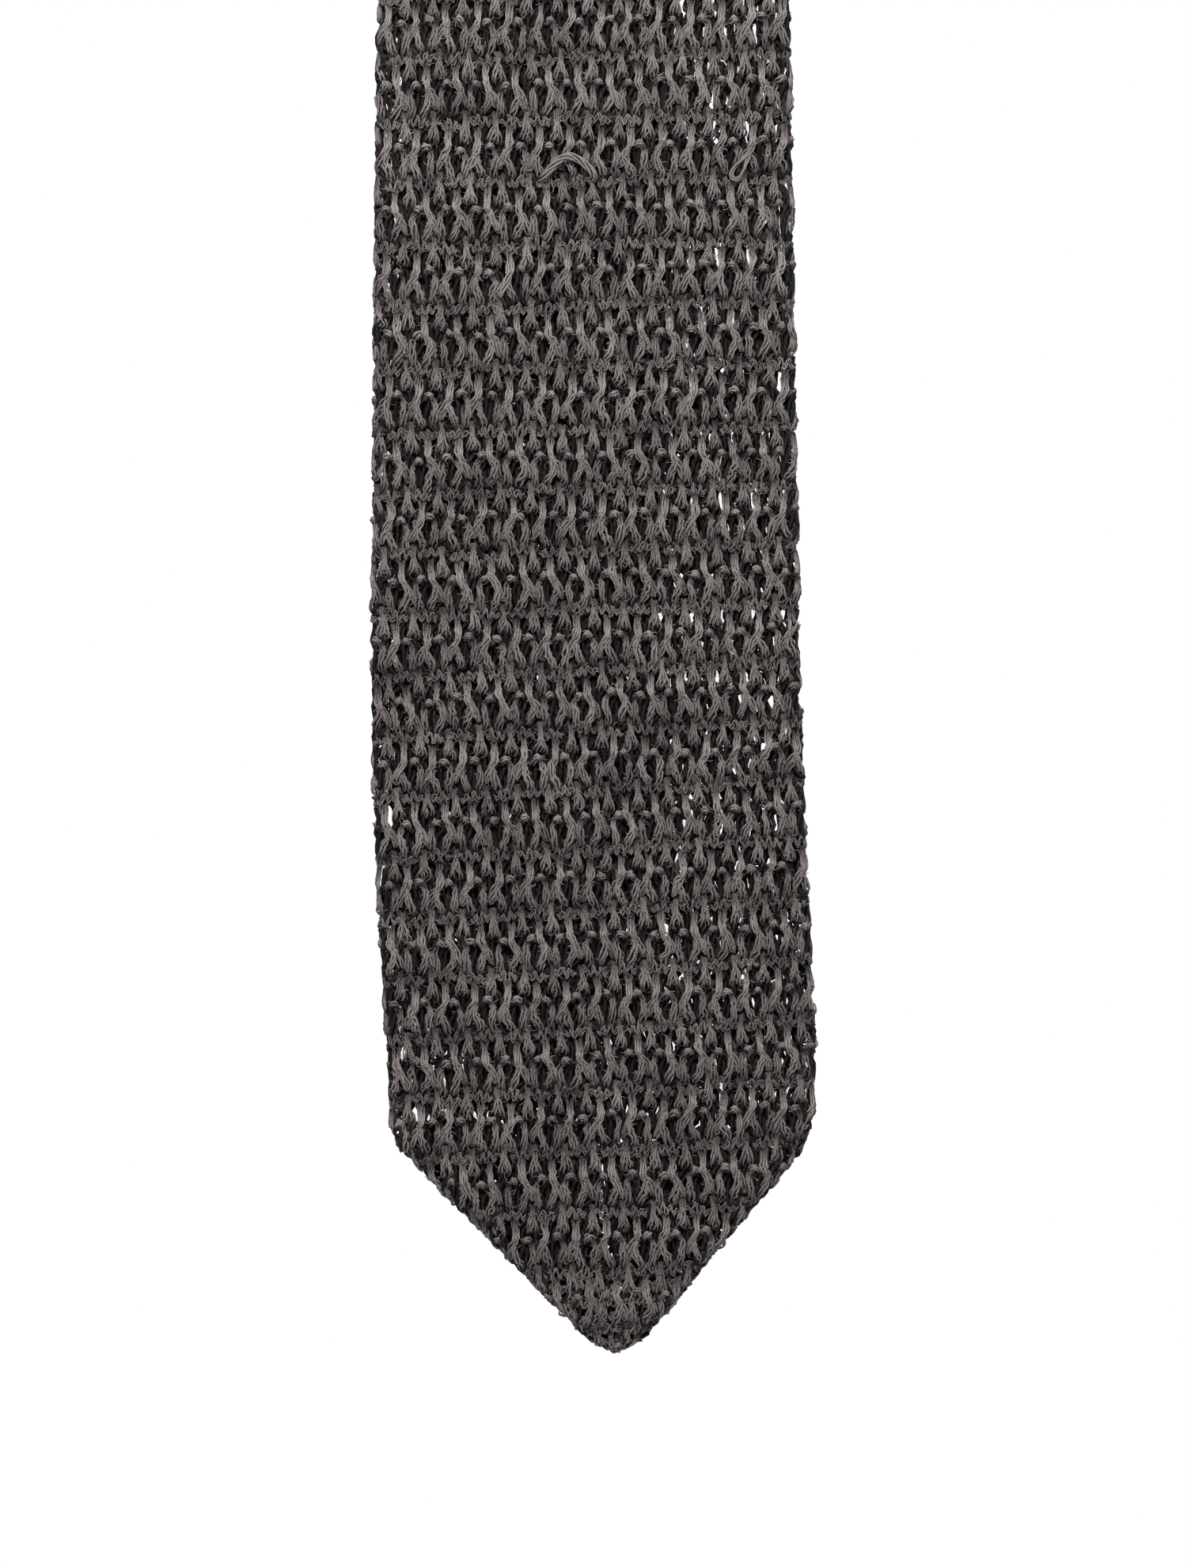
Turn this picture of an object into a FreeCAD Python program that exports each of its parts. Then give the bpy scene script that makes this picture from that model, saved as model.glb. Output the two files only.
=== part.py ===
"""A knitted necktie with a pointed front blade, hung over a round rail so that both blades hang down.

The tie is a flattened knitted tube, closed by a seam down the middle of its back. It goes up from the
front tip, over the rail and down to the tail tip. Millimetres, +Z up. The rail's axis is the X axis, the
front blade is on the -Y side with its face towards -Y, and the tail is behind it on the +Y side.

A "drop" is a distance below the rail's axis. A "depth" is measured through the tube, from its outer
face (0) to the face that looks at the other blade (DEPTH).
"""

import FreeCAD
import Part
import os

Vector = FreeCAD.Vector

# Driving dimensions
RAIL_RADIUS = 5.0
KNIT = 1.2  # thickness of one layer of the knit
HOLLOW = 0.5  # space between the two layers of the flattened tube
NECK_DROP = 30.0  # where the blades start to swing
NECK_WIDTH = 32.0
FRONT_FOLD_DROP = 400.0
FRONT_SHOULDER = 713.5  # where the straight edges end and the point starts
FRONT_APEX = 744.5  # where the point's slanting edges would meet if its tip were sharp
FRONT_APEX_SHIFT = 4.5  # how far to the side that is
FRONT_TIP_RADIUS = 7.0
TAIL_FOLD_DROP = 390.0
TAIL_SHOULDER = 692.0
TAIL_APEX = 710.5
TAIL_APEX_SHIFT = -8.3
TAIL_TIP_RADIUS = 4.0

# Sizes that follow from them
DEPTH = 2 * KNIT + HOLLOW
FRONT, TAIL = -1, 1  # which side of the rail a blade hangs on
JOINT_GAP = 0.2  # half of the space between two pieces of tube at a fold line
TOUCHING = 0.001  # two lengths or places closer than this are the same

# (drop, width, sideways shift) of the front blade, whose lower end curves to one side
FRONT_STATIONS = [
    (NECK_DROP, NECK_WIDTH, 0.0),
    (FRONT_FOLD_DROP, 51.0, 0.0),
    (560.0, 55.4, 0.0),
    (592.0, 56.3, 0.0),
    (649.0, 57.6, 0.2),
    (668.0, 57.9, 0.75),
    (687.0, 58.0, 1.6),
    (700.0, 57.8, 2.4),
    (FRONT_SHOULDER, 56.6, 2.3),
]


def tail_shift(drop):
    """How far to the side the middle of the tail is: it leans, in a straight line."""
    return TAIL_APEX_SHIFT * (drop - NECK_DROP) / (TAIL_APEX - NECK_DROP)


TAIL_STATIONS = [
    (NECK_DROP, NECK_WIDTH, 0.0),
    (TAIL_FOLD_DROP, 34.0, tail_shift(TAIL_FOLD_DROP)),
    (TAIL_SHOULDER, 36.0, tail_shift(TAIL_SHOULDER)),
]

# Seam, stay tape, keeper, label, tag and stitches
SEAM_WIDTH = 1.2
SEAM_PROUD = 0.3
TAPE_WIDTH = 22.0
TAPE_THICKNESS = 0.3
KEEPER_DROP = 582.0  # to the middle of the band
KEEPER_HEIGHT = 9.0
KEEPER_CLEAR_WIDTH = 40.0
KEEPER_CLEAR_DEPTH = 4.8
KEEPER_BAND = 1.1
KEEPER_TAB = 4.5
KEEPER_LEAN = 0.8  # how far the sides slope in towards the band's flat middle
TACK_MIDDLE = -1.1  # how far across the keeper's two tacking yarns are
TACK_RIGHT = 21.0
TACK_MIDDLE_WIDTH = 6.4
TACK_RIGHT_WIDTH = 2.4
TACK_HEIGHT = 3.0
TACK_RADIUS = 0.45
LABEL_DROP = 530.0
LABEL_WIDTH, LABEL_HEIGHT, LABEL_THICKNESS = 46.0, 20.0, 0.4
LABEL_CORNER = 1.0
LABEL_STITCH_INSET = 2.0  # from the label's side to the middle of its outer stitch
LABEL_STITCH_MARGIN = 1.5  # and from its upper and lower edges
TAG_DROP = 520.0
TAG_OFFSET = 5.0  # from the tail's middle line to the tag's
TAG_WIDTH, TAG_HEIGHT, TAG_THICKNESS = 13.0, 19.0, 0.6
TAG_CORNER = 0.5
TAG_STITCH_MARGIN = 1.2
THREAD_RADIUS = 0.3
STITCH_LENGTH = 2.4
STITCH_SLANT = 0.6  # how far a stitch's ends are above and below its middle
FRONT_POINT_STITCHES, TAIL_POINT_STITCHES, TAG_STITCHES = 7, 5, 4
BAR_TACK_WIDTH, BAR_TACK_HEIGHT, BAR_TACK_PROUD = 7.0, 1.4, 0.7


def place(side, x, depth, drop):
    """A point of a blade, from how far it is across, through and down."""
    return Vector(x, side * (RAIL_RADIUS + DEPTH - depth), -drop)


def at(stations, drop):
    """Width and sideways shift at a drop, in a straight line between stations."""
    for (d0, w0, s0), (d1, w1, s1) in zip(stations, stations[1:]):
        if drop <= d1:
            t = (drop - d0) / (d1 - d0)
            return w0 + t * (w1 - w0), s0 + t * (s1 - s0)
    return stations[-1][1:]


def tube_section(side, drop, width, shift):
    """Outline of the flattened tube: a C whose slit is at the middle of its back, where the seam goes."""
    half, slit, r_out, r_in = width / 2, SEAM_WIDTH / 2, DEPTH / 2, HOLLOW / 2

    def p(x, depth):
        return place(side, shift + x, depth, drop)

    def line(a, b):
        return Part.LineSegment(p(*a), p(*b)).toShape()

    def arc(a, b, c):
        return Part.Arc(p(*a), p(*b), p(*c)).toShape()

    out_x, in_x = half - r_out, half - KNIT - r_in
    near, far = KNIT, DEPTH - KNIT
    return Part.Wire(
        [
            line((-slit, DEPTH), (-out_x, DEPTH)),
            arc((-out_x, DEPTH), (-half, r_out), (-out_x, 0)),
            line((-out_x, 0), (out_x, 0)),
            arc((out_x, 0), (half, r_out), (out_x, DEPTH)),
            line((out_x, DEPTH), (slit, DEPTH)),
            line((slit, DEPTH), (slit, far)),
            line((slit, far), (in_x, far)),
            arc((in_x, far), (in_x + r_in, r_out), (in_x, near)),
            line((in_x, near), (-in_x, near)),
            arc((-in_x, near), (-in_x - r_in, r_out), (-in_x, far)),
            line((-in_x, far), (-slit, far)),
            line((-slit, far), (-slit, DEPTH)),
        ]
    )


def seam_section(side, drop, shift, proud):
    """Outline of the seam's cord of thread, which fills the slit."""
    half = SEAM_WIDTH / 2
    corners = [(-half, DEPTH - KNIT), (half, DEPTH - KNIT), (half, DEPTH + proud), (-half, DEPTH + proud)]
    points = [place(side, shift + x, depth, drop) for x, depth in corners]
    return Part.makePolygon(points + points[:1])


def loft(wires):
    return Part.makeLoft(wires, True, True)


def span(stations, top, bottom):
    """The stations from one drop to another, with one made at each end."""
    inner = [s for s in stations if top < s[0] < bottom]
    return [(top, *at(stations, top)), *inner, (bottom, *at(stations, bottom))]


def tube(side, stations, top, bottom):
    return loft([tube_section(side, *s) for s in span(stations, top, bottom)])


def seam(side, stations, top, bottom):
    return loft([seam_section(side, d, shift, SEAM_PROUD) for d, _, shift in span(stations, top, bottom)])


def slab(side, outline, near, far):
    """A flat piece with an outline of (x, drop) points, from one depth to another."""
    points = [place(side, x, near, drop) for x, drop in outline]
    face = Part.Face(Part.makePolygon(points + points[:1]))
    return face.extrude(place(side, 0, far, 0) - place(side, 0, near, 0))


def point_outline(shoulder, apex, width, shift, apex_shift):
    """The triangle of a blade's point."""
    return [(shift - width / 2, shoulder), (shift + width / 2, shoulder), (apex_shift, apex)]


def rounded_tip(shape, radius):
    """The shape with the edge at its lowest point rounded."""
    lowest = shape.BoundBox.ZMin
    tip = [e for e in shape.Edges if abs(e.CenterOfMass.z - lowest) < TOUCHING]
    return shape.makeFillet(radius, tip)


def pointed_tube(side, stations, top, shoulder, apex, apex_shift, tip_radius):
    """The lower tube of a blade, with its two layers cut to the blade's point."""
    width, shift = at(stations, shoulder)
    outline = point_outline(shoulder, apex, width, shift, apex_shift)
    layers = [slab(side, outline, 0, KNIT), slab(side, outline, DEPTH - KNIT, DEPTH)]
    layers = [rounded_tip(layer, tip_radius) for layer in layers]
    hollow = rounded_tip(slab(side, outline, KNIT, DEPTH - KNIT), tip_radius)
    inset = slab(side, inset_point(outline), KNIT, DEPTH - KNIT)
    rim = hollow.cut(inset)
    return tube(side, stations, top, shoulder).fuse([*layers, rim]).removeSplitter()


def inset_point(outline):
    """The hollow inside a point: its triangle moved in from the two slanting sides."""
    (left, shoulder), (right, _), (apex_shift, apex) = outline
    return [(left + 2 * KNIT, shoulder), (right - 2 * KNIT, shoulder), (apex_shift, apex - 5 * KNIT)]


def point_fold(side, hand, stations, shoulder, apex, apex_shift, tip_radius):
    """One corner of the tube, folded to the back: half of the point's triangle, two layers thick."""
    width, shift = at(stations, shoulder)
    middle = hand * THREAD_RADIUS  # the two corners leave room for a thread between them
    outline = [(shift + hand * width / 2, shoulder), (shift + middle, shoulder), (apex_shift + middle, apex)]
    whole = slab(side, point_outline(shoulder, apex, width, shift, apex_shift), DEPTH, 2 * DEPTH)
    half = slab(side, outline, DEPTH, 2 * DEPTH)
    return half.common(rounded_tip(whole, tip_radius))


def rod(a, b, radius):
    """A round piece of thread from a to b, with ball ends."""
    along = b - a
    ends = [Part.makeSphere(radius, a), Part.makeSphere(radius, b)]
    return Part.makeCylinder(radius, along.Length, a, along).fuse(ends)


def stitch_row(side, start, end, depth, count, slant=STITCH_SLANT):
    """Slanting stitches in a row between two (x, drop) points, lying on a face at that depth."""
    made = []
    lift = depth + THREAD_RADIUS
    for i in range(count):
        t = (i + 0.5) / count
        x = start[0] + t * (end[0] - start[0])
        drop = start[1] + t * (end[1] - start[1])
        a = place(side, x - STITCH_LENGTH / 2, lift, drop - slant)
        b = place(side, x + STITCH_LENGTH / 2, lift, drop + slant)
        made.append(rod(a, b, THREAD_RADIUS))
    return Part.makeCompound(made)


def point_stitches(side, stations, shoulder, apex, apex_shift, count):
    """Stitches that draw the two folded corners together down the middle of the point's back."""
    shift = at(stations, shoulder)[1]
    height, lean = apex - shoulder, apex_shift - shift
    start = (shift + 0.1 * lean, shoulder + 0.1 * height)
    end = (shift + 0.7 * lean, shoulder + 0.7 * height)
    return stitch_row(side, start, end, 2 * DEPTH, count)


def bar_tack(side, stations, shoulder):
    """Close satin stitches across the lower end of the back seam."""
    drop = shoulder - 2 * BAR_TACK_HEIGHT
    shift = at(stations, drop)[1]
    half = BAR_TACK_WIDTH / 2
    outline = [
        (shift - half, drop),
        (shift + half, drop),
        (shift + half, drop + BAR_TACK_HEIGHT),
        (shift - half, drop + BAR_TACK_HEIGHT),
    ]
    return slab(side, outline, DEPTH + SEAM_PROUD, DEPTH + SEAM_PROUD + BAR_TACK_PROUD)


def neck_tube():
    """The tube over the rail: half a turn, and a straight leg on each side."""
    front = Part.Face(tube_section(FRONT, 0, NECK_WIDTH, 0))
    tail = Part.Face(tube_section(TAIL, 0, NECK_WIDTH, 0))
    down = Vector(0, 0, JOINT_GAP - NECK_DROP)
    turn = front.revolve(Vector(0, 0, 0), Vector(-1, 0, 0), 180)
    return turn.fuse([front.extrude(down), tail.extrude(down)]).removeSplitter()


def over_rail(near, far, width, leg):
    """A flat band over the rail, between two depths, with legs of a given drop."""
    faces = []
    for side in (FRONT, TAIL):
        corners = [(-width / 2, near), (width / 2, near), (width / 2, far), (-width / 2, far)]
        points = [place(side, x, depth, 0) for x, depth in corners]
        faces.append(Part.Face(Part.makePolygon(points + points[:1])))
    down = Vector(0, 0, -leg)
    turn = faces[0].revolve(Vector(0, 0, 0), Vector(-1, 0, 0), 180)
    return turn.fuse([f.extrude(down) for f in faces]).removeSplitter()


def stay_tape():
    """The woven tape inside the neck that stops it stretching."""
    middle = DEPTH / 2
    return over_rail(middle - TAPE_THICKNESS / 2, middle + TAPE_THICKNESS / 2, TAPE_WIDTH, NECK_DROP - 1)


def keeper_loop():
    """The knitted band on the back of the front blade that the tail is tucked through."""
    clear, rise = KEEPER_CLEAR_WIDTH / 2, KEEPER_CLEAR_DEPTH
    top, bottom = KEEPER_DROP - KEEPER_HEIGHT / 2, KEEPER_DROP + KEEPER_HEIGHT / 2
    half = [
        (clear + KEEPER_TAB, 0),
        (clear + KEEPER_TAB, KEEPER_BAND),
        (clear + KEEPER_BAND, KEEPER_BAND),
        (clear + KEEPER_BAND - KEEPER_LEAN, rise + KEEPER_BAND),
    ]
    inner = [(clear - KEEPER_LEAN, rise), (clear, 0)]
    mirrored = [(-x, d) for x, d in reversed(half)]
    inner_mirrored = [(-x, d) for x, d in reversed(inner)]
    outline = half + mirrored + inner_mirrored + inner
    points = [place(FRONT, x, DEPTH + d, top) for x, d in outline]
    face = Part.Face(Part.makePolygon(points + points[:1]))
    band = face.extrude(Vector(0, 0, top - bottom))
    outer_y = place(FRONT, 0, DEPTH + rise + KEEPER_BAND, 0).y
    uprights = [e for e in band.Edges if abs(e.Length - KEEPER_HEIGHT) < TOUCHING]
    corners = [e for e in uprights if abs(e.CenterOfMass.y - outer_y) < TOUCHING]
    return band.makeFillet(KEEPER_BAND, corners)


def keeper_stitches(hand):
    """Two stitches across a keeper tab."""
    x = hand * (KEEPER_CLEAR_WIDTH / 2 + KEEPER_TAB / 2 + KEEPER_BAND / 2)
    reach = KEEPER_HEIGHT / 4
    return stitch_row(
        FRONT, (x, KEEPER_DROP - 2 * reach), (x, KEEPER_DROP + 2 * reach), DEPTH + KEEPER_BAND, 2, slant=0.2
    )


def tack(middle, width, height):
    """A tacking yarn of the keeper, which shows on the blade's face as a small arch."""
    half, radius = width / 2 - TACK_RADIUS, TACK_RADIUS
    points = [
        place(FRONT, middle - half, -radius, KEEPER_DROP + height / 2),
        place(FRONT, middle, -radius, KEEPER_DROP - height / 2),
        place(FRONT, middle + half, -radius, KEEPER_DROP + height / 2),
    ]
    path = Part.Wire([Part.Arc(*points).toShape()])
    start = path.Edges[0].tangentAt(path.Edges[0].FirstParameter)
    ring = Part.Wire([Part.Circle(points[0], start, radius).toShape()])
    return path.makePipeShell([ring], True, True)


def label():
    """A blank woven label, high on the back of the front blade."""
    depth = DEPTH + SEAM_PROUD
    return plate(FRONT, 0, LABEL_DROP, LABEL_WIDTH, LABEL_HEIGHT, depth, LABEL_THICKNESS, LABEL_CORNER)


def plate(side, x, drop, width, height, depth, thickness, corner):
    """A thin rectangle with rounded corners, centred at x and drop."""
    half = width / 2
    outline = [
        (x - half, drop - height / 2),
        (x + half, drop - height / 2),
        (x + half, drop + height / 2),
        (x - half, drop + height / 2),
    ]
    flat = slab(side, outline, depth, depth + thickness)
    through = [e for e in flat.Edges if abs(e.Length - thickness) < TOUCHING]
    return flat.makeFillet(corner, through)


def label_stitches():
    """A stitch across each corner of the label."""
    depth = DEPTH + SEAM_PROUD + LABEL_THICKNESS
    reach = LABEL_WIDTH / 2 - LABEL_STITCH_INSET
    rise = LABEL_HEIGHT / 2 - LABEL_STITCH_MARGIN
    rows = [LABEL_DROP - rise, LABEL_DROP + rise]
    return Part.makeCompound([stitch_row(FRONT, (-reach, row), (reach, row), depth, 2) for row in rows])


def tag_shift():
    """How far to the side the tag's middle is."""
    return tail_shift(TAG_DROP) + TAG_OFFSET


def care_tag():
    """A blank folded tag on the back of the tail."""
    depth = DEPTH + SEAM_PROUD
    return plate(TAIL, tag_shift(), TAG_DROP, TAG_WIDTH, TAG_HEIGHT, depth, TAG_THICKNESS, TAG_CORNER)


def tag_stitches():
    """A level row of stitches along the tag's upper edge."""
    top = TAG_DROP - TAG_HEIGHT / 2 + TAG_STITCH_MARGIN
    left, right = tag_shift() - TAG_WIDTH / 2, tag_shift() + TAG_WIDTH / 2
    depth = DEPTH + SEAM_PROUD + TAG_THICKNESS
    return stitch_row(TAIL, (left, top), (right, top), depth, TAG_STITCHES, slant=0.1)


def neck():
    return {
        "neck_tube": neck_tube(),
        "neck_stay_tape": stay_tape(),
        "neck_back_seam": over_rail(DEPTH - KNIT, DEPTH, SEAM_WIDTH, NECK_DROP - JOINT_GAP),
    }


def front_blade():
    upper = (FRONT, FRONT_STATIONS, NECK_DROP + JOINT_GAP, FRONT_FOLD_DROP - JOINT_GAP)
    lower_top = FRONT_FOLD_DROP + JOINT_GAP
    point = (FRONT_SHOULDER, FRONT_APEX, FRONT_APEX_SHIFT, FRONT_TIP_RADIUS)
    return {
        "front_upper_tube": tube(*upper),
        "front_upper_back_seam": seam(*upper),
        "front_lower_tube": pointed_tube(FRONT, FRONT_STATIONS, lower_top, *point),
        "front_lower_back_seam": seam(FRONT, FRONT_STATIONS, lower_top, FRONT_SHOULDER),
        "front_point_fold_left": point_fold(FRONT, -1, FRONT_STATIONS, *point),
        "front_point_fold_right": point_fold(FRONT, 1, FRONT_STATIONS, *point),
        "front_point_stitches": point_stitches(
            FRONT, FRONT_STATIONS, FRONT_SHOULDER, FRONT_APEX, FRONT_APEX_SHIFT, FRONT_POINT_STITCHES
        ),
        "front_bar_tack": bar_tack(FRONT, FRONT_STATIONS, FRONT_SHOULDER),
        "keeper_loop": keeper_loop(),
        "keeper_stitches_left": keeper_stitches(-1),
        "keeper_stitches_right": keeper_stitches(1),
        "keeper_tack_middle": tack(TACK_MIDDLE, TACK_MIDDLE_WIDTH, TACK_HEIGHT),
        "keeper_tack_right": tack(TACK_RIGHT, TACK_RIGHT_WIDTH, TACK_HEIGHT),
        "label": label(),
        "label_stitches": label_stitches(),
    }


def tail():
    upper = (TAIL, TAIL_STATIONS, NECK_DROP + JOINT_GAP, TAIL_FOLD_DROP - JOINT_GAP)
    lower_top = TAIL_FOLD_DROP + JOINT_GAP
    point = (TAIL_SHOULDER, TAIL_APEX, TAIL_APEX_SHIFT, TAIL_TIP_RADIUS)
    return {
        "tail_upper_tube": tube(*upper),
        "tail_upper_back_seam": seam(*upper),
        "tail_lower_tube": pointed_tube(TAIL, TAIL_STATIONS, lower_top, *point),
        "tail_lower_back_seam": seam(TAIL, TAIL_STATIONS, lower_top, TAIL_SHOULDER),
        "tail_point_fold_left": point_fold(TAIL, -1, TAIL_STATIONS, *point),
        "tail_point_fold_right": point_fold(TAIL, 1, TAIL_STATIONS, *point),
        "tail_point_stitches": point_stitches(
            TAIL, TAIL_STATIONS, TAIL_SHOULDER, TAIL_APEX, TAIL_APEX_SHIFT, TAIL_POINT_STITCHES
        ),
        "tail_bar_tack": bar_tack(TAIL, TAIL_STATIONS, TAIL_SHOULDER),
        "care_tag": care_tag(),
        "care_tag_stitches": tag_stitches(),
    }


def main():
    os.makedirs("parts", exist_ok=True)
    for name, shape in {**neck(), **front_blade(), **tail()}.items():
        if not shape.isValid() or shape.Volume <= 0:
            raise ValueError(name + " isn't a valid solid")
        shape.exportStep("parts/" + name + ".step")
        print(name, len(shape.Solids), "solid(s)", round(shape.Volume, 1), "mm3")


main()
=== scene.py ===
"""Looks of the knitted necktie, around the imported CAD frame.

Every knitted layer is real yarn: four courses of yarn make each row of the openwork stitch, and each
course is a tube or several, along a stitch path over the CAD model's flattened tube. Sizes are in
millimetres until the meshes are made, which are in metres.

The tie is one long strip. A place on it is (s, q, w): s runs along the strip, from the rail's front side
down to the front tip (so on the front blade it is the drop below the rail) and, below zero, over the rail
and down to the tail's tip. q runs round the flattened tube from the middle of its face, and w is how far
out of the layer a yarn stands.
"""

import math

import bpy
import numpy as np
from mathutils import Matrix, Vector


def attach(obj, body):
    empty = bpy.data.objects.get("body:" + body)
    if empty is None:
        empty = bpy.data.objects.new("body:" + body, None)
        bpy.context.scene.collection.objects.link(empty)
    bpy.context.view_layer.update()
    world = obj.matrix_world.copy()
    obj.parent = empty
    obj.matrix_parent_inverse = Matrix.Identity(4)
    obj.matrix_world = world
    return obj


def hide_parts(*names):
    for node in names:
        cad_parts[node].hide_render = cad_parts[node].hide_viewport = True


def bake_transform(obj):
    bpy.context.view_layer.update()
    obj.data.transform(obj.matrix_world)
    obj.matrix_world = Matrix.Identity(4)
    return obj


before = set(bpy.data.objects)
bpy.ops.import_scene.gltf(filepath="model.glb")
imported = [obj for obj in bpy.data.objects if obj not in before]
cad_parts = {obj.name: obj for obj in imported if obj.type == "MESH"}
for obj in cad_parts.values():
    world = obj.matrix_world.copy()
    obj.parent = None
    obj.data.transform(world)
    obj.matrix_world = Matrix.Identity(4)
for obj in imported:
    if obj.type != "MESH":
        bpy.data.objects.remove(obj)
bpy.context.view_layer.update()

# -------------------------------- sizes, in millimetres
MM = 0.001
RAIL_RADIUS = 5.0
DEPTH = 2.9
MIDDLE = DEPTH / 2
LAYER = 0.85  # from the middle of the tube to the middle of a knitted layer
ARC_RADIUS = RAIL_RADIUS + MIDDLE
ARC = math.pi * ARC_RADIUS
SEAM_HALF = 0.5
EDGE_TIGHT = 1.2  # near the folded edges the stitches are drawn in, from this far away
EDGE_LEVEL = 0.2
EDGE_FLAT = 0.65
TIP_FELT = 17.0  # the length of the tip where the yarn is matted
UNSHADED_RELIEF = 1.0  # the relief at and above which a yarn's colour has no painted shade, and what tubes without a relief are given
DARKEST_SHADE_RELIEF = -0.4  # the relief at and below which the painted shade in the yarn's colour is darkest
PAINTED_SHADE_CURVE = 1.35  # how quickly the painted shade in the yarn's colour deepens with depth, for the shade its fibres cast on one another

# The pointed ends: the shoulders, where the slanting edges start, and the apex, where they would meet
FRONT_SHOULDER, FRONT_SHOULDER_SHIFT, FRONT_END_WIDTH = 713.5, 2.3, 56.6
FRONT_APEX, FRONT_APEX_SHIFT, FRONT_TIP_RADIUS = 744.5, 4.5, 7.0
TAIL_SHOULDER, TAIL_SHOULDER_SHIFT, TAIL_END_WIDTH = 692.0, -8.08, 36.0
TAIL_APEX, TAIL_APEX_SHIFT, TAIL_TIP_RADIUS = 710.5, -8.3, 4.0
FOLD_TIGHT = 2.0
FOLD_IN = 3.6  # how far inside a slanting edge the cloth starts to turn under
FOLD_GAP = 0.15  # between the back of the tube and the corners folded onto it
FOLD_MEET = 0.35  # from the middle of the back to where each folded corner ends

# The bends: the bodies above and below, the side of the rail that they are on, and their drop below it
FRONT_SWING = ("neck", "front_upper", -1, 30.0)
FRONT_FOLD = ("front_upper", "front_lower", -1, 400.0)
TAIL_SWING = ("neck", "tail_upper", 1, 30.0)
TAIL_FOLD = ("tail_upper", "tail_lower", 1, 390.0)
# Where the stretches of knit meet, and the length of each block of the finest one
UPPER_END, FINE_FROM, BLOCK = 215.0, 545.0, 40.0

# (s, width, sideways shift) along the strip
STATIONS = np.array(
    [
        (-ARC - TAIL_APEX, TAIL_END_WIDTH, TAIL_APEX_SHIFT),
        (-ARC - TAIL_SHOULDER, TAIL_END_WIDTH, TAIL_SHOULDER_SHIFT),
        (-ARC - 390.0, 34.0, -4.39),
        (-ARC - 30.0, 32.0, 0.0),
        (30.0, 32.0, 0.0),
        (400.0, 51.0, 0.0),
        (560.0, 55.4, 0.0),
        (592.0, 56.3, 0.0),
        (649.0, 57.6, 0.2),
        (668.0, 57.9, 0.75),
        (687.0, 58.0, 1.6),
        (700.0, 57.8, 2.4),
        (FRONT_SHOULDER, FRONT_END_WIDTH, FRONT_SHOULDER_SHIFT),
        (FRONT_APEX, FRONT_END_WIDTH, FRONT_SHOULDER_SHIFT),
    ]
)

# Seams, keeper and trims
SEAM_MIDDLE = DEPTH - 0.05
SEAM_REACH = 0.62
SEAM_RISE = 0.4
SEAM_EDGE = 0.42  # from the seam's middle to each edge of the knit
WINDING = 1.35  # along the seam for one turn of its thread
THREAD_RADIUS = 0.2
EDGE_YARN_RADIUS = 0.34
BAR_TACK_WIDTH, BAR_TACK_UP = 7.0, 2.8  # and how far above the shoulder it is
BAR_TACK_PITCH = 0.34
BAR_TACK_THREAD = 0.19
KEEPER_DROP = 582.0
KEEPER_HEIGHT = 9.0
KEEPER_BAND = 1.1
KEEPER_RISE = 4.8
KEEPER_TAB_MIDDLE = 22.8
TACK_RADIUS = 0.15
KEEPER_WALE = 2.8
KEEPER_ROWS = 5
KEEPER_SET = 0.4  # the share of a row that the first one stands below the band's edge
TAPE_WIDTH = 22.0
TAPE_LEG = 29.5
TAPE_THICKNESS, LABEL_THICKNESS, TAG_THICKNESS = 0.3, 0.18, 0.16
STRIP_COLUMN = 1.5
LABEL_DROP, LABEL_WIDTH, LABEL_HEIGHT = 530.0, 46.0, 20.0
TAG_DROP, TAG_WIDTH, TAG_HEIGHT = 520.0, 13.0, 19.0

# The stitches: wales run down the strip and rows across it
WALE = 4.07
WALE_PHASE = -1.32
ROW = 8.33
ROW_LOW = 8.04  # rows are closer in the lower end of the front blade
ROW_ORIGIN = 618.0
# (s, sideways drift of the wales, tilt of the rows)
DRIFT = np.array(
    [
        (-ARC - TAIL_APEX, TAIL_APEX_SHIFT, 0.0),
        (-ARC - 30.0, 0.0, 0.0),
        (400.0, 0.0, 0.0),
        (590.0, 0.0, -0.018),
        (619.0, 0.3, -0.02),
        (635.0, 0.6, -0.028),
        (651.0, 1.5, -0.038),
        (667.0, 2.3, -0.044),
        (683.0, 3.1, -0.05),
        (700.0, 4.0, -0.05),
        (FRONT_APEX, 5.6, -0.045),
    ]
)

WALES_EACH_WAY = 16
# How much points, and whole stitches, stray from their path, in the path's own four measures
POINT_STRAY = [0.017, 0.009, 0.05, 0.1]
STITCH_STRAY = [0.038, 0.024, 0.09, 0.1]
STRAND_STRAY = [0.035, 0.22]  # of a turn, and in millimetres
LAYER_OVERLAP = 0.4  # how far the face's knit and the back's pass each other at the folded edges
# Yarns: each strand's radius, how many there are, how far from their middle they lie, and their turn
LOOP_YARN = {"radius": 0.165, "ends": 5, "spread": 0.31, "twist": 12.0}
GROUND_YARN = {"radius": 0.28, "ends": 3, "spread": 0.42, "twist": 9.0}
UPRIGHT_YARN = {"radius": 0.15, "ends": 3, "spread": 0.19, "twist": 9.0}
FILL_YARN = {"radius": 0.13, "ends": 2, "spread": 0.17, "twist": 3.0}
FELT_YARN = {"radius": 0.15, "ends": 2, "spread": 0.2, "twist": 3.0}
BAND_YARN = {"radius": 0.15, "ends": 3, "spread": 0.17, "twist": 4.0}
# The same courses as one thicker yarn each, for the parts that aren't seen close by
COARSE_LOOP, COARSE_GROUND, COARSE_UPRIGHT, COARSE_FILL = 0.60, 0.56, 0.38, 0.40
LOOP_SEED, UPRIGHT_SEED, FILL_SEED, GROUND_SEED, FELT_SEED = 1, 11, 21, 31, 51
FIBRES_PER_MM = 85
FIBRE_RADIUS = 0.045

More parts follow.
